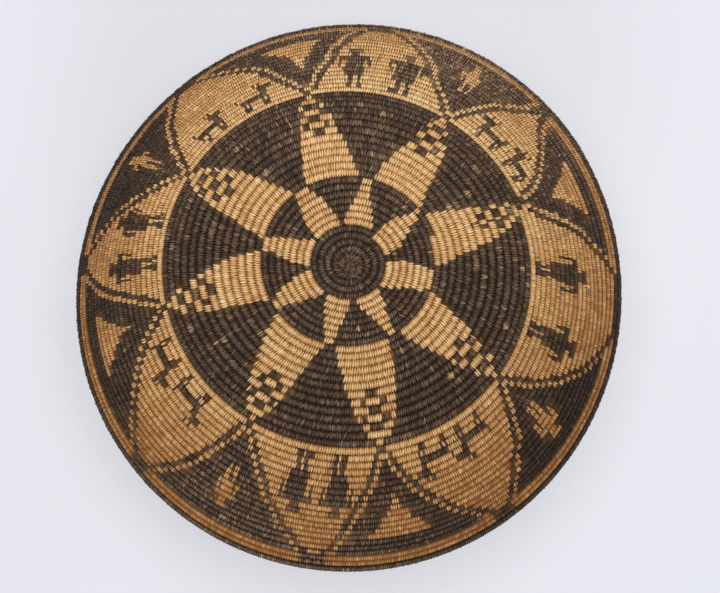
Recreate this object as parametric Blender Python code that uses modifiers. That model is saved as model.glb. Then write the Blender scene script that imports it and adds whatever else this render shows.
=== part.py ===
"""Coiled basket tray, built as the real one is made.

A bundle of shoots is bent into one spiral that starts at a knot in the middle, lies flat under
the base, bends up through a shoulder and climbs a sloping wall to the rim. Every round of the
spiral is stitched to the round inside it. Each round is one solid here: its foundation bundle
with its wrapping. A round is named by its number, counted from the start knot outwards.
Seen from above the spiral runs outwards clockwise. Units are metres, +Z is up.
"""

import math

import bpy
import numpy as np
from mathutils import Vector

# Rounds of the coil, counted from the knot
BASE_ROUNDS = 12            # flat under the basket
SHOULDER_ROUNDS = 13        # bend up from the base to the wall
WALL_ROUNDS = 21            # climb to the rim, the last one is the rim coil

# Width of one round along the wall, groove to groove
BASE_PITCH = 0.0053
SHOULDER_PITCH = 0.0061
RIM_PITCH = 0.0034
WIDENING_ROUNDS = 3         # over these the coil grows from the base width to the shoulder width

# Shape of the bowl
WALL_FOOT_SLOPE = math.radians(48.5)
RIM_SLOPE = math.radians(56.0)
SHOULDER_BEND = 2.0         # power of the bend: 1 is an arc, 2 bends more near the wall
OUT_OF_ROUND = 0.026        # the rim is this share wider along Y and narrower along X

# Coil section and ends
ROUND_GAP = 0.0006          # between one round and the next
END_GAP = 0.0004            # between the cut ends of two rounds that follow each other
BASE_FLAT = 0.0005          # depth of the flat worn and pressed under the base
START_ANGLE = math.radians(20.0)
TIP_LENGTH = 0.060          # the last end thins out over this length
TIP_THICKNESS = 0.45        # of the full coil, at the very end
KNOT_EDGE = 0.0012          # rounding of the start knot's edge

POINTS_PER_ROUND = 24
STEPS_PER_ROUND = 48        # for the measured profile
COIL_SIDES_RESOLUTION = 1   # six sides

ROUNDS = BASE_ROUNDS + SHOULDER_ROUNDS + WALL_ROUNDS
WALL_FOOT = BASE_ROUNDS + SHOULDER_ROUNDS

DEVILS_CLAW = (0.045, 0.034, 0.026, 1.0)
WILLOW = (0.56, 0.32, 0.13, 1.0)
WILLOW_AND_CLAW = (0.24, 0.14, 0.065, 1.0)
# First round of each colour zone: black start, inner petals, black ground with petals,
# willow ring, lobes with figures, willow band, black rim
COLOUR_ZONES = (
    (1, "claw"),
    (6, "both"),
    (26, "willow"),
    (27, "both"),
    (44, "willow"),
    (46, "claw"),
)


def clear_scene():
    for item in list(bpy.data.objects):
        bpy.data.objects.remove(item, do_unlink=True)


def new_collection(name):
    collection = bpy.data.collections.new(name)
    bpy.context.scene.collection.children.link(collection)
    return collection


def pitch_at(turn):
    """Width of the coil at a distance along the spiral, counted in turns."""
    turns = (BASE_ROUNDS, BASE_ROUNDS + WIDENING_ROUNDS, WALL_FOOT, ROUNDS)
    return np.interp(turn, turns, (BASE_PITCH, SHOULDER_PITCH, SHOULDER_PITCH, RIM_PITCH))


def slope_at(turn):
    """Angle of the wall to the floor: level base, bent shoulder, nearly straight wall."""
    bend = np.clip((turn - BASE_ROUNDS) / SHOULDER_ROUNDS, 0.0, 1.0) ** SHOULDER_BEND
    wall = np.interp(turn, (WALL_FOOT, ROUNDS), (WALL_FOOT_SLOPE, RIM_SLOPE))
    return bend * wall


def profile_table():
    """Radius and height of the coil's middle line against turns, added up in small steps."""
    turns = np.linspace(0.0, ROUNDS + 1.0, int((ROUNDS + 1) * STEPS_PER_ROUND) + 1)
    middles = (turns[1:] + turns[:-1]) / 2
    steps = np.diff(turns) * pitch_at(middles)
    radius = np.concatenate(([0.0], np.cumsum(steps * np.cos(slope_at(middles)))))
    height = np.concatenate(([0.0], np.cumsum(steps * np.sin(slope_at(middles)))))
    return turns, radius, height


TURNS, RADII, HEIGHTS = profile_table()
TIP_START = ROUNDS + 0.5 - TIP_LENGTH / (2 * math.pi * np.interp(ROUNDS, TURNS, RADII))
BASE_COIL_RADIUS = (BASE_PITCH - ROUND_GAP) / 2
MIDDLE_LINE_HEIGHT = BASE_COIL_RADIUS - BASE_FLAT


def coil_radius(turn):
    return (pitch_at(turn) - ROUND_GAP) / 2


def ray_angle(turn):
    """Direction of the spiral at a turn. Round n starts half a turn before turn n."""
    return START_ANGLE - 2 * math.pi * (turn + 0.5)


def on_bowl(turn, angle):
    """Point of the bowl's middle surface at a distance in turns and in a direction."""
    radius = np.interp(turn, TURNS, RADII)
    rise = max(0.0, (turn - BASE_ROUNDS) / (ROUNDS - BASE_ROUNDS))
    radius *= 1.0 - OUT_OF_ROUND * rise * math.cos(2 * angle)
    height = MIDDLE_LINE_HEIGHT + np.interp(turn, TURNS, HEIGHTS)
    return Vector((radius * math.cos(angle), radius * math.sin(angle), height))


def coil_point(turn):
    """Point on the middle line, its coil radius and the wall's slope there."""
    fullness = 1.0
    if turn > TIP_START:
        fullness = 1.0 - (1.0 - TIP_THICKNESS) * (turn - TIP_START) / (ROUNDS + 0.5 - TIP_START)
    radius = coil_radius(turn) * fullness
    # A thinner end lies against the round inside it
    seat = turn - (coil_radius(turn) - radius) / pitch_at(turn)
    return on_bowl(seat, ray_angle(turn)), radius, float(slope_at(turn))


def cut_end(before, after, share_sign):
    """End of a round, square on the straight run between two corners of the spiral."""
    (point_a, radius_a, slope_a), (point_b, radius_b, slope_b) = before, after
    middle = (point_a + point_b) / 2
    direction = (point_b - point_a).normalized()
    point = middle + direction * (share_sign * END_GAP / 2)
    return point, (radius_a + radius_b) / 2, (slope_a + slope_b) / 2


def round_path(number):
    """One round: its two cut ends, and the corners between them at the same angles as its
    neighbours', so that the flats of all rounds run side by side."""
    step = 1.0 / POINTS_PER_ROUND
    first = number - 0.5 + step / 2
    corners = [coil_point(first + step * count) for count in range(-1, POINTS_PER_ROUND + 1)]
    start = cut_end(corners[0], corners[1], 1.0)
    end = cut_end(corners[-2], corners[-1], -1.0)
    return [start, *corners[1:-1], end]


def box_centre(paths):
    """Middle of the whole coil seen from above, so that the basket stands on its origin."""
    low = Vector((math.inf, math.inf))
    high = Vector((-math.inf, -math.inf))
    for path in paths.values():
        for point, radius, _ in path:
            for axis in range(2):
                low[axis] = min(low[axis], point[axis] - radius)
                high[axis] = max(high[axis], point[axis] + radius)
    return Vector(((low.x + high.x) / 2, (low.y + high.y) / 2, 0.0))


def least_gap(paths):
    """Least free space between each round and the next, measured on their points."""
    least = math.inf
    for number in range(2, ROUNDS):
        outer = paths[number + 1]
        for count, (point, radius, _) in enumerate(paths[number]):
            # Where the spiral runs on from one round to the next they only butt
            beside = outer[max(0, count - POINTS_PER_ROUND // 2):]
            for (start, thick, _), (end, thin, _) in zip(beside[:-1], beside[1:]):
                along = end - start
                share = min(1.0, max(0.0, (point - start).dot(along) / along.length_squared))
                distance = (point - (start + along * share)).length
                least = min(least, distance - radius - thick - (thin - thick) * share)
    return least


def make_material(name, colour, roughness):
    material = bpy.data.materials.new(name)
    material.use_nodes = True
    material.diffuse_color = colour
    shader = material.node_tree.nodes["Principled BSDF"]
    shader.inputs["Base Color"].default_value = colour
    shader.inputs["Roughness"].default_value = roughness
    shader.inputs["Metallic"].default_value = 0.0
    return material


def zone_of(number):
    zone = COLOUR_ZONES[0][1]
    for first, name in COLOUR_ZONES:
        if number >= first:
            zone = name
    return zone


def tube(name, path, centre, collection):
    """One round of the coil as a bevelled curve with closed ends."""
    curve = bpy.data.curves.new(name, "CURVE")
    curve.dimensions = "3D"
    curve.twist_mode = "Z_UP"
    curve.bevel_depth = 1.0
    curve.bevel_resolution = COIL_SIDES_RESOLUTION
    curve.use_fill_caps = True
    spline = curve.splines.new("POLY")
    spline.points.add(len(path) - 1)
    for item, (point, radius, slope) in zip(spline.points, path):
        item.co = (*(point - centre), 1.0)
        item.radius = radius
        item.tilt = slope
    piece = bpy.data.objects.new(name, curve)
    collection.objects.link(piece)
    return piece


def as_mesh(piece, collection):
    """The curve's solid as a mesh object of the same name, its caps welded on."""
    name = piece.name
    depsgraph = bpy.context.evaluated_depsgraph_get()
    mesh = bpy.data.meshes.new_from_object(piece.evaluated_get(depsgraph))
    solid = bpy.data.objects.new(name + "_solid", mesh)
    solid.matrix_world = piece.matrix_world
    collection.objects.link(solid)
    bpy.data.objects.remove(piece, do_unlink=True)
    solid.name = name
    weld = solid.modifiers.new("weld_caps", "WELD")
    weld.merge_threshold = 0.00001
    return solid


def cut_flat(solid, cutter):
    flat = solid.modifiers.new("flat_base", "BOOLEAN")
    flat.operation = "DIFFERENCE"
    flat.solver = "EXACT"
    flat.object = cutter


def floor_cutter(collection):
    """A slab whose top is the floor, wide enough for every round that reaches it."""
    width = 4 * np.interp(WALL_FOOT, TURNS, RADII)
    thickness = 10 * BASE_PITCH
    bpy.ops.mesh.primitive_cube_add(size=1.0, location=(0.0, 0.0, -thickness / 2))
    cutter = bpy.context.active_object
    cutter.name = "floor_cutter"
    cutter.scale = (width, width, thickness)
    bpy.ops.object.transform_apply(location=False, rotation=False, scale=True)
    for owner in list(cutter.users_collection):
        owner.objects.unlink(cutter)
    collection.objects.link(cutter)
    cutter.hide_render = True
    cutter.display_type = "WIRE"
    return cutter


def start_knot(centre, collection):
    """The first round, wound tight on itself: a snail-shaped button inside round two."""
    curve = bpy.data.curves.new("start_knot", "CURVE")
    curve.dimensions = "2D"
    curve.fill_mode = "BOTH"
    thickness = 2 * BASE_COIL_RADIUS - BASE_FLAT
    curve.extrude = thickness / 2
    step = 1.0 / POINTS_PER_ROUND
    # Its edge is the groove inside round two
    shares = [0.0, *(step * (count + 0.5) for count in range(POINTS_PER_ROUND)), 1.0]
    spline = curve.splines.new("POLY")
    spline.points.add(len(shares) - 1)
    spline.use_cyclic_u = True
    for share, item in zip(shares, spline.points):
        edge = BASE_PITCH * (1.0 + share) - ROUND_GAP / 2
        angle = ray_angle(0.5 + share) + (END_GAP / edge if share == 1.0 else 0.0)
        item.co = (edge * math.cos(angle), edge * math.sin(angle), 0.0, 1.0)
    piece = bpy.data.objects.new("start_knot", curve)
    piece.location = (-centre.x, -centre.y, thickness / 2)
    collection.objects.link(piece)
    weld = piece.modifiers.new("weld_caps", "WELD")
    weld.merge_threshold = 0.00001
    edge = piece.modifiers.new("rounded_edge", "BEVEL")
    edge.width = KNOT_EDGE
    edge.segments = 2
    edge.limit_method = "ANGLE"
    edge.angle_limit = math.radians(60)
    return piece


def node_name(number):
    return "rim_coil" if number == ROUNDS else f"coil_round_{number:02d}"


def build():
    clear_scene()
    parts = new_collection("coiled_basket_tray")
    cutters = new_collection("cutters")
    materials = {
        "claw": make_material("devils_claw_round", DEVILS_CLAW, 0.55),
        "willow": make_material("willow_round", WILLOW, 0.5),
        "both": make_material("willow_and_claw_round", WILLOW_AND_CLAW, 0.5),
    }
    paths = {number: round_path(number) for number in range(2, ROUNDS + 1)}
    centre = box_centre(paths)
    cutter = floor_cutter(cutters)

    knot = start_knot(centre, parts)
    knot.data.materials.append(materials["claw"])
    for number, path in paths.items():
        piece = tube(node_name(number), path, centre, parts)
        piece.data.materials.append(materials[zone_of(number)])
        if min(point.z - radius for point, radius, _ in path) < 0:
            piece = as_mesh(piece, parts)
            cut_flat(piece, cutter)

    print(f"least gap between rounds: {least_gap(paths) * 1000:.3f} mm")


if __name__ == "__main__":
    build()
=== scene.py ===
"""Coiled basket tray, stitch by stitch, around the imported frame.

The coil is one spiral on a bowl. Every stitch is a band of split willow or devil's claw that loops
the coil, and its colour comes from the pattern: rounds are counted from the start knot, directions
are degrees of azimuth round the basket, and each motif is a list of arcs on some rounds. Lengths
are millimetres until a mesh is made. Seen from above the spiral runs outwards clockwise.
"""

import math

import bpy
import numpy as np
from mathutils import Matrix, Vector


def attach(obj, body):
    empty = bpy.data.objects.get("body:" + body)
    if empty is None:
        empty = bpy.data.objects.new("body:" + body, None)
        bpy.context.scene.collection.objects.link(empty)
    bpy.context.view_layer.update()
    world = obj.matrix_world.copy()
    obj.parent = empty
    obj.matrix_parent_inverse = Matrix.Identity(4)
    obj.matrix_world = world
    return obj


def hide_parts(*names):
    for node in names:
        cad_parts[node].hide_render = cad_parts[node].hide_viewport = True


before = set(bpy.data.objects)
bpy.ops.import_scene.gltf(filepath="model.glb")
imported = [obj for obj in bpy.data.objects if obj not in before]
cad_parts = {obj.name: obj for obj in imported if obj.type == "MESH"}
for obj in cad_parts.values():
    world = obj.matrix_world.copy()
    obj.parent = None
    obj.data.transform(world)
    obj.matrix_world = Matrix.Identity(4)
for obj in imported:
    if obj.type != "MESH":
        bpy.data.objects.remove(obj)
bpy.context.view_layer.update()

rng = np.random.default_rng(46)

# The bowl, as in the CAD
BASE_ROUNDS = 12
WALL_FOOT = 25
ROUNDS = 46
BASE_PITCH = 5.3
SHOULDER_PITCH = 6.1
RIM_PITCH = 3.4
WALL_FOOT_SLOPE = math.radians(48.5)
RIM_SLOPE = math.radians(56.0)
SHOULDER_BEND = 2.0
OUT_OF_ROUND = 0.026
MIDDLE_LINE_HEIGHT = 1.85
CENTRE = (0.4, -0.5)
START_ANGLE = 20.0
TIP_LENGTH = 60.0
TIP_THICKNESS = 0.45

# How far the real wall strays from that bowl, outwards in mm: one row for each turn below, with
# the share that is the same all round, then those of one, two and three waves round the basket
STRAY_TURNS = (1, 6, 10, 13, 18, 23, 28, 34, 40, 43.5, 45.4, 46.8)
STRAY = np.array((
    (0, 0, 0, 0, 0, 0, 0),
    (-0.15, 0.26, 0.30, 0.10, -0.19, 0.13, 0),
    (-0.30, 0.26, 0.30, 0.10, -0.19, 0.13, 0),
    (-0.44, -0.44, 0.12, -0.37, -0.37, 0.22, -0.19),
    (-1.43, -1.17, -0.97, 0.58, -1.02, 0.46, -0.43),
    (-0.28, -1.00, -1.28, 1.18, -1.29, 0.11, -0.20),
    (-0.38, -0.78, -0.69, 0.21, -1.22, -0.31, -0.16),
    (-0.16, -0.91, 0.26, 0, -0.44, -1.17, -0.19),
    (-0.23, -0.56, 0.08, -0.45, -0.06, -0.96, -1.69),
    (0.09, 0.31, 0.32, -0.29, 1.10, -0.45, -0.15),
    (0.28, 0.63, -0.34, -0.30, 1.45, -0.35, -0.24),
    (-0.18, 0.79, -1.92, -0.82, 1.18, -0.78, -0.06),
))

# Coil and stitches, in mm
BASE_SPACING = 1.86
RIM_SPACING = 1.76
KNOT_SPACING = 1.30         # in the first rounds, where the stitches fan out from one point
KNOT_ROUNDS = 2
BULGE = 0.55                # how far a stitch's middle stands over its edges
LEAN_TURNS = (6, 15, 22, 28)
LEANS = (2.0, 6.0, 6.0, 2.5)    # degrees that the outer end of a stitch lies further on
RIM_FLATNESS = 0.90         # thickness of the wall's coil against its width
FLATTENING_ROUNDS = 26      # the coil comes to that over these, from the base's edge
COIL_START = 0.3            # turns: the spiral begins this far from the middle
COIL_END = ROUNDS + 0.5
INNER_REACH = 0.22          # how far a stitch reaches in between those of the round before
OUTER_REACH = 0.04
INNER_NARROWING = 0.50      # share of its width that a stitch loses at its inner end
OUTER_NARROWING = 0.28
LOWEST = 0.03               # no stitch goes below this, and the foundation stays over LOWEST_CORE
LOWEST_CORE = 0.05
FRONT_STEPS = 7
BACK_STEPS = 5
STEPS = FRONT_STEPS + BACK_STEPS

TURN_STEPS = 96             # steps in a turn, for the profile and the coil


def pitch_at(turn):
    turns = (BASE_ROUNDS, BASE_ROUNDS + 3, WALL_FOOT, ROUNDS)
    return np.interp(turn, turns, (BASE_PITCH, SHOULDER_PITCH, SHOULDER_PITCH, RIM_PITCH))


def slope_at(turn):
    bend = np.clip((turn - BASE_ROUNDS) / (WALL_FOOT - BASE_ROUNDS), 0.0, 1.0) ** SHOULDER_BEND
    return bend * np.interp(turn, (WALL_FOOT, ROUNDS), (WALL_FOOT_SLOPE, RIM_SLOPE))


def profile_table():
    turns = np.linspace(0.0, ROUNDS + 2.0, (ROUNDS + 2) * TURN_STEPS + 1)
    middles = (turns[1:] + turns[:-1]) / 2
    steps = np.diff(turns) * pitch_at(middles)
    radius = np.concatenate(([0.0], np.cumsum(steps * np.cos(slope_at(middles)))))
    height = np.concatenate(([0.0], np.cumsum(steps * np.sin(slope_at(middles)))))
    return turns, radius, height


TURNS, RADII, HEIGHTS = profile_table()


def on_bowl(turn, angle):
    """Points of the bowl's middle surface. Angles are in radians."""
    radius = np.interp(turn, TURNS, RADII)
    rise = np.clip((turn - BASE_ROUNDS) / (ROUNDS - BASE_ROUNDS), 0.0, None)
    radius = radius * (1 - OUT_OF_ROUND * rise * np.cos(2 * angle))
    waves = (np.ones_like(angle), np.cos(angle), np.sin(angle), np.cos(2 * angle),
             np.sin(2 * angle), np.cos(3 * angle), np.sin(3 * angle))
    for column, wave in enumerate(waves):
        radius = radius + np.interp(turn, STRAY_TURNS, STRAY[:, column]) * wave
    height = MIDDLE_LINE_HEIGHT + np.interp(turn, TURNS, HEIGHTS)
    return np.stack((radius * np.cos(angle) + CENTRE[0], radius * np.sin(angle) + CENTRE[1],
                     height * np.ones_like(angle)), axis=-1)


def spiral_angle(turn):
    return math.radians(START_ANGLE) - 2 * math.pi * (turn + 0.5)


def unit(vectors):
    return vectors / np.linalg.norm(vectors, axis=-1, keepdims=True)


def dot(a, b):
    return (a * b).sum(axis=-1, keepdims=True)


TIP_TURNS = TIP_LENGTH / (2 * math.pi * np.interp(ROUNDS, TURNS, RADII))
SMALL_ANGLE = 0.002


def coil_frame(turn):
    """Middle of the coil, the way it runs, the way out over the wall, the way off the wall's
    inner face, and the coil's half width and half thickness."""
    angle = spiral_angle(turn)
    fullness = 1 - (1 - TIP_THICKNESS) * np.clip((turn - ROUNDS - 0.5) / TIP_TURNS + 1, 0, 1)
    half = pitch_at(turn) / 2
    seat = turn - (1 - fullness) / 2
    middle = on_bowl(seat, angle)
    outwards = unit(on_bowl(seat + 0.5, angle) - on_bowl(seat - 0.5, angle))
    along = unit(on_bowl(seat, angle - SMALL_ANGLE) - on_bowl(seat, angle + SMALL_ANGLE))
    along = unit(along - outwards * dot(along, outwards))
    inwards = np.cross(along, outwards)
    inwards = inwards * np.sign(inwards[..., 2:3])
    flat = 1 - (1 - RIM_FLATNESS) * np.clip((turn - BASE_ROUNDS) / FLATTENING_ROUNDS, 0, 1)
    return middle, along, outwards, inwards, half * fullness, half * fullness * flat


# The pattern. Colours of a stitch: 0 is devil's claw, black; 1 is willow, tan
CLAW, WILLOW = 0, 1


# How far the pattern is turned against the directions written below, in degrees: one row for each
# round below, with the same share all round, then the share of one wave
TWIST_ROWS = (8, 16, 23, 32, 42)
TWIST = np.array((
    (0.33, -0.76, -0.96),
    (0.22, -0.36, -0.30),
    (0.06, -0.19, -0.30),
    (0.03, 0.05, -0.33),
    (0.04, 0.05, -0.29),
))


class Chart:
    """Colour of every stitch, painted arc by arc."""

    def __init__(self, turns):
        whole = np.floor(turns + 0.5)
        self.row = whole.astype(int)
        azimuth = START_ANGLE - 360.0 * (turns + 0.5 - whole)
        waves = (1.0, np.cos(np.radians(azimuth)), np.sin(np.radians(azimuth)))
        twist = sum(np.interp(turns, TWIST_ROWS, TWIST[:, column]) * wave
                    for column, wave in enumerate(waves))
        self.azimuth = (azimuth + twist) % 360.0
        self.colour = np.full(turns.shape, CLAW)

    def paint(self, row, start, end, colour):
        beyond_start = (self.azimuth - start) % 360.0
        self.colour[(self.row == row) & (beyond_start < (end - start) % 360.0)] = colour

    def fill(self, row, colour):
        self.colour[self.row == row] = colour


# Inner petals: their first arc is on round 6 and the rows follow outwards
INNER_PETALS = (
    ((13.7, 50), (17.7, 49.5), (25, 47), (28.5, 45.5), (33, 43.5), (34, 41), (38, 40)),
    ((60, 94.5), (64, 92.3), (68, 89.3), (70, 86), (73.5, 84), (74.5, 82.5), (75.5, 81.5)),
    ((101, 140), (102.7, 137.7), (106, 137.5), (109, 134.5), (112, 131.3), (114, 129.5), (117, 127)),
    ((145.5, 183.7), (149.5, 180.5), (154, 178.5), (155, 175), (157.7, 174), (159, 171), (162, 170.5)),
    ((189.5, 230), (192.5, 227.5), (194.5, 223), (198, 220), (201, 217), (203, 215.3), (207.5, 214)),
    ((238, 273), (240.5, 270), (244.5, 267), (246.5, 264.5), (249, 261), (251.5, 261), (253.5, 260)),
    ((281, 317), (285.5, 314.5), (289, 313), (292, 307), (295, 305.5), (296.5, 303.5), (298.5, 303)),
    ((324, 363.7), (329, 364.4), (333, 364.7), (336, 362), (338.5, 359), (338.5, 358), (341, 356.5)),
)
INNER_PETAL_START = 6

# Main petals: left and right edge at the rounds below, and the middle of the checker near the tip
PETAL_ROWS = (13, 15, 17, 19, 21, 23, 24, 25)
MAIN_PETALS = (
    ((-1.2, 3.0, 6.2, 9.0, 11.8, 15.0, 17.0, 19.0),
     (33.5, 31.0, 27.9, 26.3, 25.0, 24.2, 22.8, 21.7)),
    ((40.5, 44.5, 47.5, 49.5, 52.0, 55.0, 57.0, 58.5),
     (74.8, 72.0, 68.8, 65.3, 63.7, 62.3, 61.3, 60.3)),
    ((84.5, 88.5, 91.5, 94.5, 96.0, 98.3, 100.0, 101.4),
     (117.0, 114.0, 112.0, 110.0, 107.8, 106.3, 104.5, 102.8)),
    ((127.5, 132.0, 134.7, 137.5, 139.5, 142.5, 143.7, 145.7),
     (163.0, 160.0, 157.5, 155.8, 154.5, 152.2, 150.5, 148.0)),
    ((171.7, 175.5, 178.0, 182.0, 184.7, 187.2, 188.4, 189.8),
     (205.0, 203.0, 201.0, 200.0, 197.5, 195.8, 193.0, 191.5)),
    ((217.0, 220.5, 224.5, 227.3, 230.0, 233.0, 234.4, 236.9),
     (254.3, 250.5, 247.8, 245.7, 244.5, 242.7, 240.7, 238.4)),
    ((261.3, 264.7, 267.3, 269.6, 272.0, 275.0, 276.7, 279.0),
     (297.5, 294.7, 293.0, 290.0, 288.0, 285.7, 284.0, 281.0)),
    ((305.7, 308.8, 312.0, 315.0, 316.7, 319.3, 321.3, 322.7),
     (341.0, 335.7, 333.3, 331.0, 329.0, 327.8, 325.0, 324.2)),
)
CHECKER_MIDDLES = (20.9, 58.9, 102.3, 147.3, 190.8, 237.6, 279.8, 323.0)
CHECKER_WIDE_ROWS = (19, 21, 23)    # one black block each
CHECKER_PAIR_ROWS = (20, 22)        # two smaller ones each
CHECKER_BLOCK = 4.6
CHECKER_STEP = 3.9                  # from the middle to each of the two
CHECKER_SMALL = 2.7

RING_ROUND = 26
RING_BREAKS = ((23.6, 26.3), (58.4, 60.6), (100.9, 103.2), (145.3, 147.9), (189.3, 191.6),
               (236.4, 238.6), (278.8, 281.8), (322.8, 325.3))

# Lobes: the black stair of checks on each side, its middle at the rounds below, and the black
# break in the willow band over its top
STAIR_ROWS = (27, 29, 31, 33, 35, 37, 39, 41, 43)
LOBES = (
    ((326.3, 329.0, 331.1, 333.8, 336.5, 339.2, 342.2, 345.7, 349.1),
     (381.0, 379.5, 378.5, 377.6, 376.6, 375.4, 374.0, 371.3, 369.0), (352.4, 367.2)),
    ((27.3, 28.9, 31.2, 34.5, 37.2, 40.0, 42.5, 44.4, 45.2),
     (57.2, 55.5, 54.2, 52.5, 51.6, 49.6, 48.7, 47.2, 46.4), (44.7, 47.8)),
    ((61.8, 64.6, 67.6, 70.0, 71.2, 72.8, 75.0, 77.3, 79.6),
     (99.2, 97.6, 96.0, 93.9, 92.8, 91.6, 89.9, 88.6, 87.0), (80.5, 86.2)),
    ((103.7, 106.1, 108.1, 109.6, 110.9, 113.1, 116.4, 119.5, 122.4),
     (144.0, 142.2, 139.9, 138.2, 136.4, 134.8, 133.0, 130.4, 128.6), (122.7, 128.2)),
    ((148.2, 151.1, 153.5, 156.1, 158.0, 159.8, 162.1, 165.2, 168.5),
     (187.6, 185.2, 183.5, 181.9, 180.2, 178.8, 177.3, 175.2, 173.0), (168.6, 173.1)),
    ((192.7, 195.6, 198.0, 201.2, 204.6, 207.8, 210.9, 213.4, 215.9),
     (235.1, 233.5, 231.9, 230.3, 228.6, 227.0, 225.0, 222.9, 220.7), (216.2, 221.0)),
    ((240.3, 242.7, 245.6, 248.0, 250.0, 252.9, 254.9, 257.8, 260.3),
     (278.3, 276.8, 275.3, 273.0, 271.5, 269.6, 268.3, 266.6, 264.9), (260.3, 265.0)),
    ((282.6, 284.7, 286.9, 289.0, 291.7, 294.6, 297.2, 300.7, 303.3),
     (322.5, 320.4, 319.3, 317.7, 316.2, 313.1, 311.4, 309.4, 307.8), (303.2, 308.2)),
)
CHECK_WIDTH = 1.35          # of a stair's checks
CHECK_STEP = 1.6            # from a stair's middle to the willow checks outside it
CHECK_EXTRA = 0.1           # by which the black check reaches into those
BAND_ROUNDS = (44, 45)
LOBE_ROUNDS = range(27, 44)
STEP_START, STEP_END = 20.0, 45.0   # between these directions band and rim are one round lower

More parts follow.
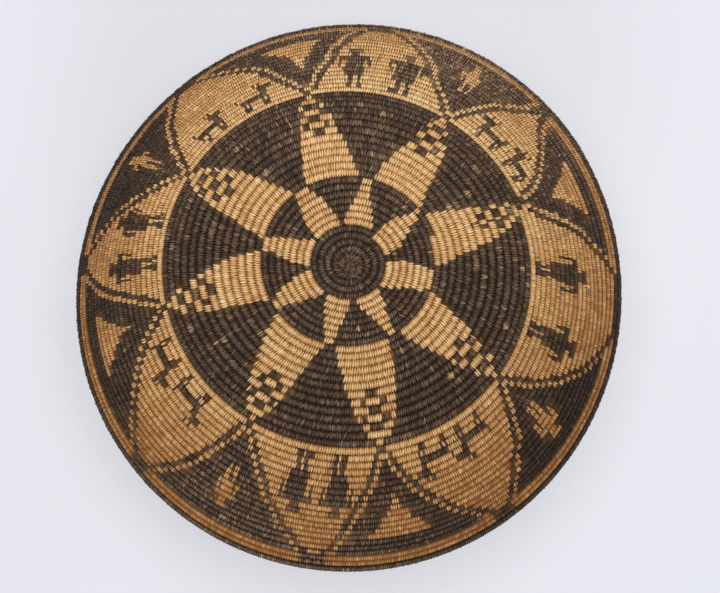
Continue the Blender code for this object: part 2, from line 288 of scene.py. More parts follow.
# Figures, read off the photograph: first round, colour, and for each round from there outwards, set
# apart by a stroke, its arcs as pairs of directions in degrees
FIGURES = (
    # People on the feet of the lobes
    (27, CLAW, "-.1 1.3 1.9 4.7 / .5 2.2 2.9 4.2 / .8 2.4 3.2 4.9 / .8 5.9 / .4 6.3"
               " / -1.3 -.4 .5 6.3 7.2 8 / -1.3 -.4 .4 6.6 7.4 8.1 / -1 -.3 .4 6.7 7.5 8.2 / -.9 8.4"
               " / 2.6 5.2 / 2.2 5.9"),
    (27, CLAW, "340.6 342.6 343.3 345.8 / 341.5 342.8 343.6 345.4 / 341.9 343.3 344.1 346 / 341 346.5"
               " / 341.2 346.9 / 339.7 340.4 341.3 346.8 347.8 348.5"
               " / 339.5 340.4 341.5 347 348.2 349 / 340.2 349.3 / 343.6 346.5 / 342.9 347"),
    (27, CLAW, "72.5 74.5 75.9 78.3 / 73.3 74.5 75.6 77.2 / 73.4 74.5 75.6 77.2 / 72.9 78.3"
               " / 72.6 78.4 / 71.3 72.1 72.9 78.2 79 79.7 / 71.2 71.9 72.6 78.4 79.2 79.9"
               " / 71.3 79.8 / 74.5 76.5 / 74.4 77.4"),
    (27, CLAW, "86.5 87.7 89.3 90.8 / 86.6 87.7 88.7 90.4 / 86.6 87.7 88.7 90.3 / 86.1 91.1"
               " / 86.1 91.3 / 84.6 85.3 86 90.6 91.5 92.3 / 84.5 85.2 85.9 90.4 91.2 91.9"
               " / 84.6 91.8 / 87.3 89.1 / 86.6 89.5"),
    (27, CLAW, "160 162.2 163.1 165.3 / 160.8 162 162.9 164.1 / 160.9 162 162.9 164.1 / 160.4 164.9"
               " / 160.6 164.7 / 158.9 159.6 160.4 164.7 165.6 166.3"
               " / 158.4 159.1 159.9 164.7 165.4 166.2 / 158.9 166.1 / 161.1 163.3 / 160.6 163.8"),
    (27, CLAW, "173.3 174.9 175.9 178.3 / 173.6 174.9 175.8 177 / 173.6 174.9 175.8 177 / 173.3 177.9"
               " / 172.9 177.4 / 171.4 172.1 172.9 177.2 178 178.8"
               " / 170.9 171.6 172.5 177.2 178 178.7 / 170.9 178.7 / 173.4 175.8 / 172.7 176"),
    (27, CLAW, "254.5 256.6 257.6 259.9 / 255.1 256.3 257.3 258.4 / 255.1 256.3 257.3 258.4"
               " / 254.1 259.1 / 254 259 / 252.1 252.8 253.6 259 259.8 260.5"
               " / 252 252.7 253.6 258.6 259.5 260.3 / 252 260.4 / 255.1 257.4 / 254.8 258"),
    (27, CLAW, "265.4 267.2 268.1 269.8 / 265.6 266.7 267.8 269.3 / 265.7 266.8 267.8 269.1"
               " / 265 269.7 / 264.9 269.8 / 263.1 263.8 264.7 269.7 270.5 271.2"
               " / 262.7 263.4 264.3 269.4 270.3 271 / 262.5 271 / 265.8 268 / 265.1 268.2"),
    # Dogs between them
    (27, CLAW, "31.1 33 36.8 38.4 / 30.8 31.5 32.3 33.1 36.4 37.1 37.8 38.5 / 31.4 38.5 / 37 38.6"
               " / 36.6 41.1 / 36.2 36.9 37.7 38.4"),
    (27, CLAW, "42.9 44.5 48.3 50 / 42.3 43 43.8 44.5 48.7 49.4 50.1 50.8 / 42.5 50.8"
               " / 42.5 43.4 49 50.8 / 48.9 52.5 / 48.4 49.1 49.9 50.6"),
    (27, CLAW, "112.7 114.4 118.6 120.2 / 112 112.7 113.5 114.2 118.1 118.8 119.6 120.3 / 112.2 120.3"
               " / 111.9 113.8 120.3 121 / 110 113.8 / 112.6 113.3 114 114.7"),
    (27, CLAW, "127 129 132.9 134.5 / 126.5 127.2 128 128.7 132.6 133.3 134.2 134.9 / 126.6 135.2"
               " / 126.5 128.3 134.8 135.5 / 125 129.1 / 127.3 128 128.9 129.6"),
    (27, CLAW, "199.7 201.5 206.6 208.4 / 199.3 200 201 201.7 206.1 206.9 207.6 208.3 / 199.3 208.3"
               " / 199 199.7 206.6 208.4 / 206.5 211.2 / 206.6 207.3 208 208.7"),
    (27, CLAW, "213 215 220.8 222.9 / 212.5 213.3 214.4 215.2 220.2 220.9 221.8 222.5 / 212.4 222.4"
               " / 212.3 213 220.8 222.9 / 221.1 224.7 / 220.5 221.2 221.9 222.6"),
    (27, CLAW, "291 293.1 297.9 299.7 / 290.8 291.5 292.2 292.9 297.6 298.3 299 299.7 / 290.9 299.7"
               " / 290.8 292.4 299.6 300.3 / 288.8 292.4 / 291.4 292.1 292.8 293.5"),
    (27, CLAW, "303.5 305.5 310.2 311.7 / 303.2 303.9 304.7 305.4 309.8 310.5 311.2 311.9"
               " / 303.3 312.2 / 303.1 304.7 312 312.7 / 300.8 304.8 / 303.6 304.3 305 305.7"),
    # Willow people in the black wedges between the lobes
    (33, WILLOW, "59.6 60.4 61.3 62.2 / 59.6 60.4 61.3 62.2 / 59.7 60.5 61.3 62.2"
                 " / 59.7 62.4 63.1 63.8 / 59.9 62.6 63.3 64 / 59.3 64.1 / 60.6 62.5 / 60.6 62.5"
                 " / 60.6 62.5"),
    (33, WILLOW, "144.7 145.4 146.2 147 / 144.4 145.2 145.9 146.9 / 144.4 145.2 145.9 146.9"
                 " / 144.1 144.9 145.8 146.8 / 144.1 146.8 / 142.7 143.4 144.1 146.6 147.4 148.1"
                 " / 142.9 148.1 / 144.5 146.5 / 144.5 146.5"),
    (33, WILLOW, "237.7 238.6 239.5 240.5 / 237.7 238.6 239.5 240.5 / 237.7 238.6 239.5 240.5"
                 " / 236.5 237.2 237.9 240.7 241.4 242.1 / 236.5 237.2 237.9 240.7 241.4 242.1"
                 " / 236.9 241.9 / 238.4 240.4 / 238.4 240.4"),
    (33, WILLOW, "323.8 324.9 325.9 327.3 / 324.4 325.5 326.3 327.4 / 324.4 325.5 326.3 327.4"
                 " / 322.6 323.5 324.3 327.4 328.2 329.2 / 322.6 323.5 324.3 327.4 328.2 329.2"
                 " / 322.4 329.3 / 324.7 326.8 / 324.4 327.6"),
)
THINNEST_ARC = 0.72         # degrees: no arc of a figure is thinner than one stitch

# Willow triangles in the other wedges, from their broad side inwards
TRIANGLE_TOP = 40
TRIANGLES = (
    ((20.4, 34), (21.5, 32.5), (22.4, 31.3), (22.9, 30.2),
     (23.4, 29.5), (24.3, 28.4), (24.7, 27.4), (24.9, 26.2)),
    ((95.6, 108.6), (96.7, 107), (97.6, 105.7), (98.3, 104),
     (98.9, 103.3), (100, 102.5), (100.4, 102.2), (100.8, 101.8)),
    ((184.3, 198.8), (185.2, 197), (186.5, 196.1), (187.3, 194.1),
     (188, 193), (189, 191.8), (189.8, 191.3), (190.2, 191)),
    ((274.9, 288.8), (276.3, 287.9), (277.5, 287.2), (278, 285.3),
     (279.3, 284.8), (280.5, 283.2), (281, 282.6), (280.8, 282)),
)


def chart_colours(turns):
    chart = Chart(turns)
    chart.paint(INNER_PETAL_START - 1, 20, 49.5, WILLOW)        # the first petal starts a round early
    for petal in INNER_PETALS:
        for count, (start, end) in enumerate(petal):
            chart.paint(INNER_PETAL_START + count, start, end, WILLOW)
    for (left, right), middle in zip(MAIN_PETALS, CHECKER_MIDDLES):
        for row in range(PETAL_ROWS[0], PETAL_ROWS[-1] + 1):
            start, end = np.interp(row, PETAL_ROWS, left), np.interp(row, PETAL_ROWS, right)
            chart.paint(row, start, end, WILLOW)
            if row in CHECKER_WIDE_ROWS:
                chart.paint(row, middle - CHECKER_BLOCK / 2, middle + CHECKER_BLOCK / 2, CLAW)
            if row in CHECKER_PAIR_ROWS:
                for side in (-1, 1):
                    block = middle + side * CHECKER_STEP
                    chart.paint(row, block - CHECKER_SMALL / 2, block + CHECKER_SMALL / 2, CLAW)
    chart.fill(RING_ROUND, WILLOW)
    for start, end in RING_BREAKS:
        chart.paint(RING_ROUND, start, end, CLAW)

    half = CHECK_WIDTH / 2
    black_reach = CHECK_STEP - half + CHECK_EXTRA
    for left, right, _ in LOBES:
        for row in LOBE_ROUNDS:
            start, end = np.interp(row, STAIR_ROWS, left), np.interp(row, STAIR_ROWS, right)
            chart.paint(row, start - CHECK_STEP - half, end + CHECK_STEP + half, WILLOW)
            chart.paint(row, start - black_reach, start + half, CLAW)
            chart.paint(row, end - half, end + black_reach, CLAW)
    for row in BAND_ROUNDS:
        chart.fill(row, WILLOW)
        for _, _, (start, end) in LOBES:
            chart.paint(row, start, end, CLAW)
    paint_step(chart)

    for first, colour, text in FIGURES:
        for count, arcs in enumerate(text.split("/")):
            edges = [float(word) for word in arcs.split()]
            for start, end in zip(edges[::2], edges[1::2]):
                more = max(THINNEST_ARC - (end - start), 0.0) / 2
                chart.paint(first + count, start - more, end + more, colour)
    for triangle in TRIANGLES:
        for count, (start, end) in enumerate(triangle):
            chart.paint(TRIANGLE_TOP - count, start, end, WILLOW)
    return chart


def paint_step(chart):
    """The band and the rim one round lower, where the spiral's last round lies on them."""
    lower, upper = BAND_ROUNDS
    chart.paint(upper, STEP_START, STEP_END, CLAW)
    chart.paint(lower - 1, STEP_START, STEP_END - 1, WILLOW)
    # The lobe before the start of the step reaches into the band
    chart.paint(lower, 352.8, 366.8, WILLOW)
    chart.paint(lower, 350.0, 352.6, CLAW)
    chart.paint(lower, 366.8, 368.4, CLAW)


# Where the stitches are
def coil_turns():
    """Close steps along the whole coil."""
    return np.linspace(COIL_START, COIL_END, int((COIL_END - COIL_START) * TURN_STEPS))


def spacing_at(turn):
    """The length of coil that one stitch covers."""
    return np.interp(turn, (KNOT_ROUNDS - 1, KNOT_ROUNDS + 1, ROUNDS),
                     (KNOT_SPACING, BASE_SPACING, RIM_SPACING))


def coil_lengths():
    turns = coil_turns()
    points = coil_frame(turns)[0]
    return turns, np.concatenate(([0.0], np.cumsum(np.linalg.norm(np.diff(points, axis=0), axis=-1))))


def stitch_turns():
    turns, lengths = coil_lengths()
    spacing = spacing_at(turns)
    numbers = np.concatenate(([0.0], np.cumsum(np.diff(lengths) / (spacing[1:] + spacing[:-1]) * 2)))
    count = int(numbers[-1])
    places = np.cumsum(1 + 0.07 * rng.standard_normal(count))
    places *= (numbers[-1] - 0.6) / places[-1]
    return np.interp(places, numbers, turns)


def strand_tones(count, longest, strand_spread, stitch_spread):
    """A strand sews some stitches in one tone, and each stitch differs a little."""
    tones = np.zeros(count)
    start = 0
    while start < count:
        end = start + rng.integers(longest // 3, longest)
        tones[start:end] = rng.normal(0.0, strand_spread)
        start = end
    return tones + rng.normal(0.0, stitch_spread, count)


def worn_runs(count, share, longest):
    """Runs of stitches whose dark skin has come off."""
    worn = np.zeros(count)
    for start in rng.integers(0, count, int(count * share)):
        worn[start:start + rng.integers(1, longest)] = rng.uniform(0.5, 1.0)
    return worn


SECTION = np.concatenate((np.linspace(0, math.pi, FRONT_STEPS, endpoint=False),
                          np.linspace(math.pi, 2 * math.pi, BACK_STEPS, endpoint=False)))
ACROSS = np.array((-1.0, -0.62, 0.0, 0.62, 1.0))
ROUNDING = np.array((0.0, 0.74, 1.0, 0.74, 0.0))
COLUMNS = len(ACROSS)
# Painted shade where a stitch dips between its neighbours: at its ends, along its sides, and more where
# they meet
DIP_SHADE_ENDS, DIP_SHADE_SIDES, DIP_SHADE_CORNERS = 0.35, 0.30, 0.60


def band_points(coil, lean, width, lift, inner_reach):
    """Closed half-round bands round pieces of coil: stitches by section by across by xyz."""
    middle, along, outwards, inwards, half, thick = coil
    cosine, sine = np.cos(SECTION)[None, :], np.sin(SECTION)[None, :]
    reach = 1.0 + inner_reach[:, None] * np.clip(cosine, 0, 1) + OUTER_REACH * np.clip(-cosine, 0, 1)
    narrow = (1.0 - INNER_NARROWING * np.clip(cosine, 0, 1) ** 2
              - OUTER_NARROWING * np.clip(-cosine, 0, 1) ** 2)
    grow = BULGE * (ROUNDING - 1)[None, None, :] + lift[:, None, None]
    out = -(half[:, None, None] + grow) * (cosine * reach)[:, :, None]
    off = (thick[:, None, None] + grow) * sine[:, :, None]
    side = ACROSS * narrow[:, :, None] * width[:, None, None] / 2 + np.tan(lean)[:, None, None] * out
    points = (middle[:, None, None, :]
              + outwards[:, None, None, :] * out[..., None]
              + inwards[:, None, None, :] * off[..., None]
              + along[:, None, None, :] * side[..., None])
    points[..., 2] = np.maximum(points[..., 2], LOWEST)
    return points


def stitch_points(turns, claw):
    count = len(turns)
    knot = np.clip(KNOT_ROUNDS + 1 - turns, 0.0, 1.0)
    spacing = spacing_at(turns)
    rough = np.where(claw, 2.0, 1.0)
    lean = np.interp(turns, LEAN_TURNS, LEANS) + rng.normal(0.0, 3.5, count) * rough * (1 + 2 * knot)
    lean = np.radians(lean)
    width = spacing * (0.95 + rng.normal(0.0, 0.05, count) * rough)
    lift = np.clip(rng.normal(0.0, 0.07, count) * rough * (1 + 2 * knot), -0.3, 0.3)
    inner_reach = INNER_REACH - 0.07 * claw + 0.3 * knot + rng.normal(0.0, 0.05, count)
    return band_points(coil_frame(turns), lean, width, lift, inner_reach)


KNOT_SPLINTS = 300
KNOT_SPREAD = 4.6           # mm from the middle, as a deviation


def knot_points():
    """The ends of the first splints, short and untidy, drawn over the knot."""
    place = rng.normal(0.0, KNOT_SPREAD, (KNOT_SPLINTS, 2))
    angle = np.arctan2(place[:, 1], place[:, 0]) - math.pi / 2 + rng.normal(0.0, 0.7, KNOT_SPLINTS)
    place = place + CENTRE
    flat = np.zeros(KNOT_SPLINTS)
    coil = (np.column_stack((place, flat + MIDDLE_LINE_HEIGHT)),
            np.column_stack((np.cos(angle), np.sin(angle), flat)),
            np.column_stack((-np.sin(angle), np.cos(angle), flat)),
            np.column_stack((flat, flat, flat + 1)),
            rng.uniform(0.6, 1.3, KNOT_SPLINTS), 2.2 + rng.uniform(0.0, 0.45, KNOT_SPLINTS))
    lean = rng.normal(0.0, 0.1, KNOT_SPLINTS)
    return band_points(coil, lean, rng.uniform(0.5, 1.0, KNOT_SPLINTS), flat, flat)


def band_faces(count):
    step = np.arange(STEPS)
    following = (step + 1) % STEPS
    quads = []
    for column in range(COLUMNS - 1):
        quads.append(np.stack((step * COLUMNS + column, step * COLUMNS + column + 1,
                               following * COLUMNS + column + 1, following * COLUMNS + column), axis=-1))
    one = np.concatenate(quads)
    return (one[None] + (np.arange(count) * STEPS * COLUMNS)[:, None, None]).reshape(-1, 4)


def band_map(count):
    """A small cell of the map for each stitch."""
    cells = math.ceil(math.sqrt(count))
    step = np.arange(STEPS)
    corners = []
    for column in range(COLUMNS - 1):
        left, right = np.full(STEPS, column), np.full(STEPS, column + 1)
        quad = ((left, step), (right, step), (right, step + 1), (left, step + 1))
        corners.append(np.stack([np.stack(corner, -1) for corner in quad], axis=1))
    one = 0.06 + 0.88 * np.concatenate(corners) / (COLUMNS - 1, STEPS)
    number = np.arange(count)
    cell = np.stack((number % cells, number // cells), -1)
    return ((one[None] + cell[:, None, None, :]) / cells).reshape(-1, 2)


def new_mesh(name, points, faces):
    """A mesh object from points in mm and four-cornered faces."""
    mesh = bpy.data.meshes.new(name)
    mesh.vertices.add(len(points))
    mesh.vertices.foreach_set("co", (points / 1000).astype(np.float32).ravel())
    mesh.loops.add(faces.size)
    mesh.loops.foreach_set("vertex_index", faces.astype(np.int32).ravel())
    mesh.polygons.add(len(faces))
    mesh.polygons.foreach_set("loop_start", (np.arange(len(faces)) * 4).astype(np.int32))
    mesh.polygons.foreach_set("use_smooth", np.ones(len(faces), bool))
    mesh.update(calc_edges=True)
    piece = bpy.data.objects.new(name, mesh)
    bpy.context.scene.collection.objects.link(piece)
    return piece


def set_attribute(piece, name, kind, values):
    attribute = piece.data.attributes.new(name, kind, "POINT")
    attribute.data.foreach_set("vector" if kind == "FLOAT_VECTOR" else "value",
                               np.asarray(values, np.float32).ravel())


def stitches_piece(name, points, tones, ages):
    """Stitches as one piece, with what their finish needs: tone, age, place on the stitch, and painted
    shade where each stitch dips.
    """
    count = len(tones)
    piece = new_mesh(name, points.reshape(-1, 3), band_faces(count))
    layer = piece.data.uv_layers.new(name="OFBake")
    layer.data.foreach_set("uv", band_map(count).astype(np.float32).ravel())
    length = np.abs(np.concatenate((np.linspace(-1, 1, FRONT_STEPS, endpoint=False),
                                    np.linspace(1, -1, BACK_STEPS, endpoint=False))))
    shape = (count, STEPS, COLUMNS)
    set_attribute(piece, "tone", "FLOAT", np.broadcast_to(tones[:, None, None], shape))
    set_attribute(piece, "age", "FLOAT", np.broadcast_to(ages[:, None, None], shape))
    seeds = rng.uniform(0, 400, count)
    grain = np.stack((
        np.broadcast_to(1.5 * ACROSS[None, None, :], shape) + seeds[:, None, None],
        np.broadcast_to(np.arange(STEPS)[None, :, None] * 0.4, shape),
        np.broadcast_to(seeds[:, None, None], shape),
    ), axis=-1)
    set_attribute(piece, "grain", "FLOAT_VECTOR", grain)
    # Painted shade: darker towards a stitch's ends and sides, where it dips between its neighbours
    beside, ends = ACROSS[None, None, :] ** 2, length[None, :, None] ** 2
    edges = DIP_SHADE_ENDS * ends + DIP_SHADE_SIDES * beside + DIP_SHADE_CORNERS * ends * beside
    set_attribute(piece, "edge", "FLOAT", np.broadcast_to(edges, shape))
    return piece


FOUNDATION_SIDES = 8
WEB_REACH = 1.25            # how far the foundation reaches into the round before
CORE_INSET = 0.15           # how far it stays inside its own width on the other side
CORE_DEPTH = BULGE + 0.05   # how far it lies under the stitches' faces
MAP_ROWS = 64


def foundation_map(rings, count):
    """The coil cut into equal lengths, one in each row of the map, and a cell for the end caps."""
    number = np.arange(count)
    ring, side = number // FOUNDATION_SIDES, number % FOUNDATION_SIDES
    columns = math.ceil(rings / (MAP_ROWS - 1))
    row = np.where(ring < rings - 1, ring // columns, MAP_ROWS - 1)
    column = ring % columns
    corners = [((column + along) / columns,
                (row + 0.05 + 0.9 * (side + across) / FOUNDATION_SIDES) / MAP_ROWS)
               for along, across in ((0.02, 0), (0.02, 1), (0.98, 1), (0.98, 0))]
    return np.stack([np.stack(corner, -1) for corner in corners], axis=1).reshape(-1, 2)


def foundation_piece(colours):
    """The bundle under the stitches, with a web that reaches into the round before."""
    turns = coil_turns()
    middle, along, outwards, inwards, half, thick = coil_frame(turns)
    angles = (np.arange(FOUNDATION_SIDES) + 0.5) * 2 * math.pi / FOUNDATION_SIDES
    cosine, sine = np.cos(angles)[None, :], np.sin(angles)[None, :]
    to_the_side = np.where(cosine > 0, half[:, None] + WEB_REACH, half[:, None] - CORE_INSET)
    to_the_side = np.where(turns[:, None] < 1.2, 0.8 * half[:, None], to_the_side)
    out = -to_the_side * cosine
    off = (thick[:, None] - CORE_DEPTH) * sine
    points = (middle[:, None, :] + outwards[:, None, :] * out[..., None]
              + inwards[:, None, :] * off[..., None])
    points[..., 2] = np.maximum(points[..., 2], LOWEST_CORE)
    rings = len(turns)
    ring, side = np.meshgrid(np.arange(rings - 1), np.arange(FOUNDATION_SIDES), indexing="ij")
    beside = (side + 1) % FOUNDATION_SIDES
    faces = np.stack((ring * FOUNDATION_SIDES + side, ring * FOUNDATION_SIDES + beside,
                      (ring + 1) * FOUNDATION_SIDES + beside, (ring + 1) * FOUNDATION_SIDES + side), -1)
    caps = np.array(((0, 1, 2, 3), (0, 3, 4, 7), (4, 5, 6, 7)))
    last = (rings - 1) * FOUNDATION_SIDES
    faces = np.concatenate((faces.reshape(-1, 4), caps[:, ::-1], last + caps))
    piece = new_mesh("foundation_coil", points.reshape(-1, 3), faces)
    layer = piece.data.uv_layers.new(name="OFBake")
    layer.data.foreach_set("uv", foundation_map(rings, len(faces)).astype(np.float32).ravel())
    # Which colour lies over each part of the foundation, for its colour, which is partly painted shade
    share = (colours(turns) == WILLOW).astype(float)
    set_attribute(piece, "tone", "FLOAT", np.broadcast_to(share[:, None], (rings, FOUNDATION_SIDES)))
    return piece


# Finishes
def node(tree, kind, **values):
    item = tree.nodes.new(kind)
    for name, value in values.items():
        setattr(item, name, value)
    return item


def ramp(tree, stops):
    item = node(tree, "ShaderNodeValToRGB")
    elements = item.color_ramp.elements
    while len(elements) < len(stops):
        elements.new(0.5)
    for element, (place, colour) in zip(elements, stops):
        element.position = place
        element.color = (*colour, 1.0)
    return item


def weighted(tree, source, weight, rest):
    """source times weight, plus rest, which is a number or another socket."""
    item = node(tree, "ShaderNodeMath", operation="MULTIPLY_ADD")
    tree.links.new(source, item.inputs[0])
    item.inputs[1].default_value = weight
    if isinstance(rest, float):
        item.inputs[2].default_value = rest
    else:
        tree.links.new(rest, item.inputs[2])
    return item.outputs[0]


def splint_material(name, stops, roughness, specular, spread, streak, edge, age, middle):
    """Split plant fibre: a tone for each stitch, blotches and fine streaks along it, and painted
    shade, darker where it dips between its neighbours."""
    material = bpy.data.materials.new(name)
    material.use_nodes = True
    tree = material.node_tree
    shader = tree.nodes["Principled BSDF"]
    read = {word: node(tree, "ShaderNodeAttribute", attribute_name=word)
            for word in ("tone", "age", "grain", "edge")}
    fibres = node(tree, "ShaderNodeTexNoise", noise_dimensions="3D")
    fibres.inputs["Scale"].default_value = 1.3
    fibres.inputs["Detail"].default_value = 3.0
    fibres.inputs["Roughness"].default_value = 0.6
    tree.links.new(read["grain"].outputs["Vector"], fibres.inputs["Vector"])
    level = weighted(tree, read["tone"].outputs["Fac"], spread, middle - streak / 2)
    level = weighted(tree, fibres.outputs["Fac"], streak, level)
    # Painted shade where the stitch dips between its neighbours
    level = weighted(tree, read["edge"].outputs["Fac"], -edge, level)
    level = weighted(tree, read["age"].outputs["Fac"], -age, level)
    colours = ramp(tree, stops)
    tree.links.new(level, colours.inputs["Fac"])
    tree.links.new(colours.outputs["Color"], shader.inputs["Base Color"])
    sheen = node(tree, "ShaderNodeMapRange")
    sheen.inputs["To Min"].default_value = roughness - 0.10
    sheen.inputs["To Max"].default_value = roughness + 0.15
    tree.links.new(fibres.outputs["Fac"], sheen.inputs["Value"])
    tree.links.new(sheen.outputs["Result"], shader.inputs["Roughness"])
    shader.inputs["Specular IOR Level"].default_value = specular
    relief = node(tree, "ShaderNodeBump")
    relief.inputs["Strength"].default_value = 0.4
    relief.inputs["Distance"].default_value = 0.0002
    tree.links.new(fibres.outputs["Fac"], relief.inputs["Height"])
    tree.links.new(relief.outputs["Normal"], shader.inputs["Normal"])
    return material


def foundation_material():
    material = bpy.data.materials.new("foundation_shoots")
    material.use_nodes = True
    tree = material.node_tree
    shader = tree.nodes["Principled BSDF"]
    tone = node(tree, "ShaderNodeAttribute", attribute_name="tone")
    # Partly painted shade: the foundation is as dark as the shaded gaps between the stitches, dark brown
    # under willow and near black under devil's claw
    colours = ramp(tree, ((0.0, (0.016, 0.009, 0.005)), (1.0, (0.200, 0.085, 0.024))))
    tree.links.new(tone.outputs["Fac"], colours.inputs["Fac"])
    tree.links.new(colours.outputs["Color"], shader.inputs["Base Color"])
    shader.inputs["Roughness"].default_value = 0.8
    shader.inputs["Specular IOR Level"].default_value = 0.2
    return material


willow = splint_material("willow_splint", (
    (0.00, (0.145, 0.050, 0.012)), (0.25, (0.335, 0.145, 0.040)), (0.50, (0.585, 0.325, 0.119)),
    (0.75, (0.765, 0.508, 0.234)), (1.00, (0.890, 0.680, 0.405))),
    roughness=0.40, specular=0.40, spread=0.16, streak=0.40, edge=0.40, age=0.36, middle=0.70)
claw = splint_material("devils_claw_splint", (
    (0.00, (0.009, 0.005, 0.003)), (0.45, (0.059, 0.035, 0.021)), (0.70, (0.153, 0.098, 0.060)),
    (0.85, (0.268, 0.170, 0.100)), (1.00, (0.520, 0.320, 0.150))),
    roughness=0.50, specular=0.22, spread=0.16, streak=1.20, edge=0.38, age=0.0, middle=0.56)


# Pieces
MOST_STITCHES = 2000


def node_name(number):
    if number == 1:
        return "start_knot"
    return "rim_coil" if number == ROUNDS else f"coil_round_{number:02d}"


def round_groups(rows, chosen):
    """Rounds in groups of not too many stitches for one mesh."""
    first, total = 1, 0
    for row in range(1, ROUNDS + 1):
        here = int((chosen & (rows == row)).sum())
        if total + here > MOST_STITCHES:
            yield first, row - 1
            first, total = row, 0
        total += here
    yield first, ROUNDS


def add_piece(piece, material, first, last):
    piece.data.materials.append(material)
    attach(piece, "root")
    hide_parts(*(node_name(number) for number in range(first, last + 1)))


def stitch_tones(turns, claw):
    """How light each stitch is: by its strand, by itself, by wear, and by painted light and shade for
    its place on the wall.
    """
    azimuth = spiral_angle(turns)
    on_wall = np.clip((turns - 24) / 4, 0, 1)
    near_rim = np.clip((turns - 32) / 6, 0, 1)
    # Painted light and shade: the wall is lighter on its +Y side, where more light falls on it, and
    # darker on its +X and -X sides, most so near the rim
    painted_light_y = np.sin(azimuth) * on_wall
    painted_shade_x = (np.cos(2 * azimuth) - 0.8 * np.sin(2 * azimuth)) * on_wall
    willow_tones = strand_tones(len(turns), 26, 0.25, 0.45) + 0.6 * painted_light_y - 0.25 * painted_shade_x
    wear = np.interp(turns, (4.5, 5.5, 24, 28), (0.0, 2.0, 2.0, 1.0))
    claw_tones = strand_tones(len(turns), 14, 0.25, 0.60) + wear * worn_runs(len(turns), 0.020, 4)
    # Painted light and shade on the devil's claw as well, which is also darker near the rim
    claw_tones += 0.3 * painted_light_y - 0.35 * painted_shade_x - near_rim * (0.4 + 0.8 * painted_shade_x)
    return np.where(claw, claw_tones, willow_tones)


turns = stitch_turns()
chart = chart_colours(turns)
is_claw = chart.colour == CLAW
points = stitch_points(turns, is_claw)
tones = stitch_tones(turns, is_claw)
ages = np.clip((turns - WALL_FOOT) / (ROUNDS - WALL_FOOT), 0, 1)
rows = np.clip(chart.row, 1, ROUNDS)
for chosen, name, material, slot in ((~is_claw, "willow", willow, "willow_wrapping"),
                                     (is_claw, "claw", claw, "devils_claw_wrapping")):
    for first, last in round_groups(rows, chosen):
        here = chosen & (rows >= first) & (rows <= last)
        piece = stitches_piece(f"{name}_stitches_{first:02d}_{last:02d}",
                               points[here], tones[here], ages[here])
        add_piece(piece, material, first, last)
        print(piece.name, int(here.sum()), "stitches")

knot = stitches_piece("start_knot_splints", knot_points(), rng.normal(0.1, 0.9, KNOT_SPLINTS),
                      np.zeros(KNOT_SPLINTS))
add_piece(knot, claw, 1, 1)
foundation = foundation_piece(lambda places: chart_colours(places).colour)
foundation.data.materials.append(foundation_material())
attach(foundation, "root")


# Floor, light and camera
FLOOR_COLOUR = (0.775, 0.785, 0.840, 1.0)
FLOOR_SHADE = 0.40          # share of the floor's look that takes light and shadow


def seen_directly(tree, share):
    """This share for rays of the camera, of gloss and of transmission, 0 for the rays that light."""
    rays = node(tree, "ShaderNodeLightPath")
    seen = node(tree, "ShaderNodeMath", operation="MAXIMUM")
    tree.links.new(rays.outputs["Is Camera Ray"], seen.inputs[0])
    tree.links.new(rays.outputs["Is Glossy Ray"], seen.inputs[1])
    seen_too = node(tree, "ShaderNodeMath", operation="MAXIMUM")
    tree.links.new(seen.outputs[0], seen_too.inputs[0])
    tree.links.new(rays.outputs["Is Transmission Ray"], seen_too.inputs[1])
    return weighted(tree, seen_too.outputs[0], share, 0.0)


def floor_piece():
    bpy.ops.mesh.primitive_plane_add(size=8.0, location=(0.0, 0.0, 0.0))
    floor = bpy.context.active_object
    floor.name = "floor"
    material = bpy.data.materials.new("pale_floor")
    material.use_nodes = True
    tree = material.node_tree
    shader = tree.nodes["Principled BSDF"]
    shader.inputs["Base Color"].default_value = FLOOR_COLOUR
    shader.inputs["Roughness"].default_value = 0.9
    shader.inputs["Specular IOR Level"].default_value = 0.1
    glow = node(tree, "ShaderNodeEmission")
    glow.inputs["Color"].default_value = FLOOR_COLOUR
    glow.inputs["Strength"].default_value = 1.0
    mix = node(tree, "ShaderNodeMixShader")
    tree.links.new(seen_directly(tree, 1 - FLOOR_SHADE), mix.inputs["Fac"])
    tree.links.new(shader.outputs[0], mix.inputs[1])
    tree.links.new(glow.outputs[0], mix.inputs[2])
    tree.links.new(mix.outputs[0], tree.nodes["Material Output"].inputs["Surface"])
    floor.data.materials.append(material)


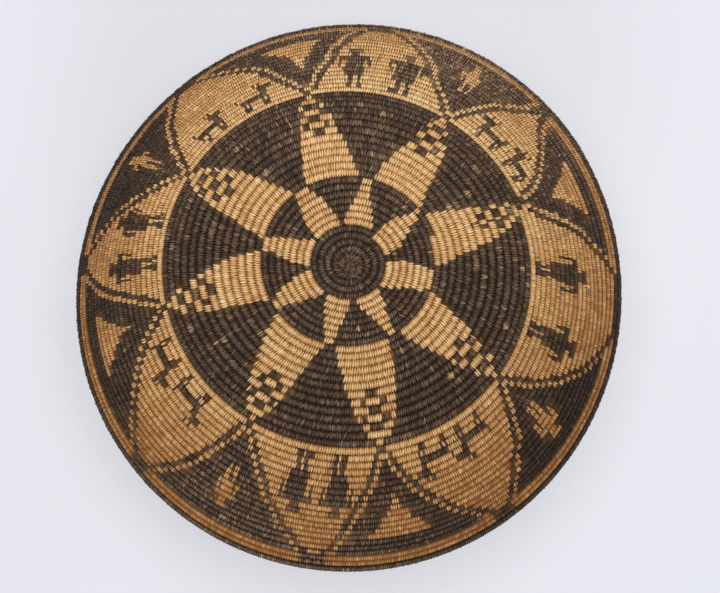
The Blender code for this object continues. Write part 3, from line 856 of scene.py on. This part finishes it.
def lamp(name, place, power):
    data = bpy.data.lights.new(name, "AREA")
    data.shape = "SQUARE"
    data.size = LAMP_SIZE
    data.energy = power
    item = bpy.data.objects.new(name, data)
    item.location = place
    item.rotation_euler = (-Vector(place)).to_track_quat("-Z", "Y").to_euler()
    bpy.context.scene.collection.objects.link(item)


LAMP_SIZE = 1.2
LAMPS = (
    # Name, place in metres, power
    ("back_softbox", (0.0, 1.03, 1.94), 42.0),
    ("front_softbox", (0.0, -1.87, 1.17), 20.0),
    ("front_low_softbox", (0.0, -2.13, 0.57), 17.0),
    ("right_softbox", (1.03, 0.0, 1.94), 4.0),
    ("corner_softbox", (1.32, 1.32, 1.17), 4.0),
)
WORLD_STRENGTH = 0.04


def studio_world():
    world = bpy.data.worlds.new("studio")
    bpy.context.scene.world = world
    world.use_nodes = True
    tree = world.node_tree
    light = tree.nodes["Background"]
    light.inputs["Color"].default_value = (1.0, 0.98, 0.96, 1.0)
    light.inputs["Strength"].default_value = WORLD_STRENGTH
    backdrop = node(tree, "ShaderNodeBackground")
    backdrop.inputs["Color"].default_value = FLOOR_COLOUR
    backdrop.inputs["Strength"].default_value = 1.0
    mix = node(tree, "ShaderNodeMixShader")
    tree.links.new(seen_directly(tree, 1.0), mix.inputs["Fac"])
    tree.links.new(light.outputs[0], mix.inputs[1])
    tree.links.new(backdrop.outputs[0], mix.inputs[2])
    tree.links.new(mix.outputs[0], tree.nodes["World Output"].inputs["Surface"])


floor_piece()
studio_world()
for name, place, power in LAMPS:
    lamp(name, place, power)

# The photograph's view: place in metres, tilt towards the front, and lens for a 36 mm wide frame
CAMERA_PLACE = (0.00826, 0.62272, 1.96209)
CAMERA_TILT = math.asin(0.31425)
LENS = 138.378

camera_data = bpy.data.cameras.new("photo_camera")
camera_data.sensor_width = 36.0
camera_data.lens = LENS
camera_data.clip_end = 20.0
camera = bpy.data.objects.new("photo_camera", camera_data)
camera.matrix_world = Matrix.Translation(CAMERA_PLACE) @ Matrix.Rotation(-CAMERA_TILT, 4, "X")
bpy.context.scene.collection.objects.link(camera)
bpy.context.scene.camera = camera
bpy.context.scene.view_settings.view_transform = "Standard"
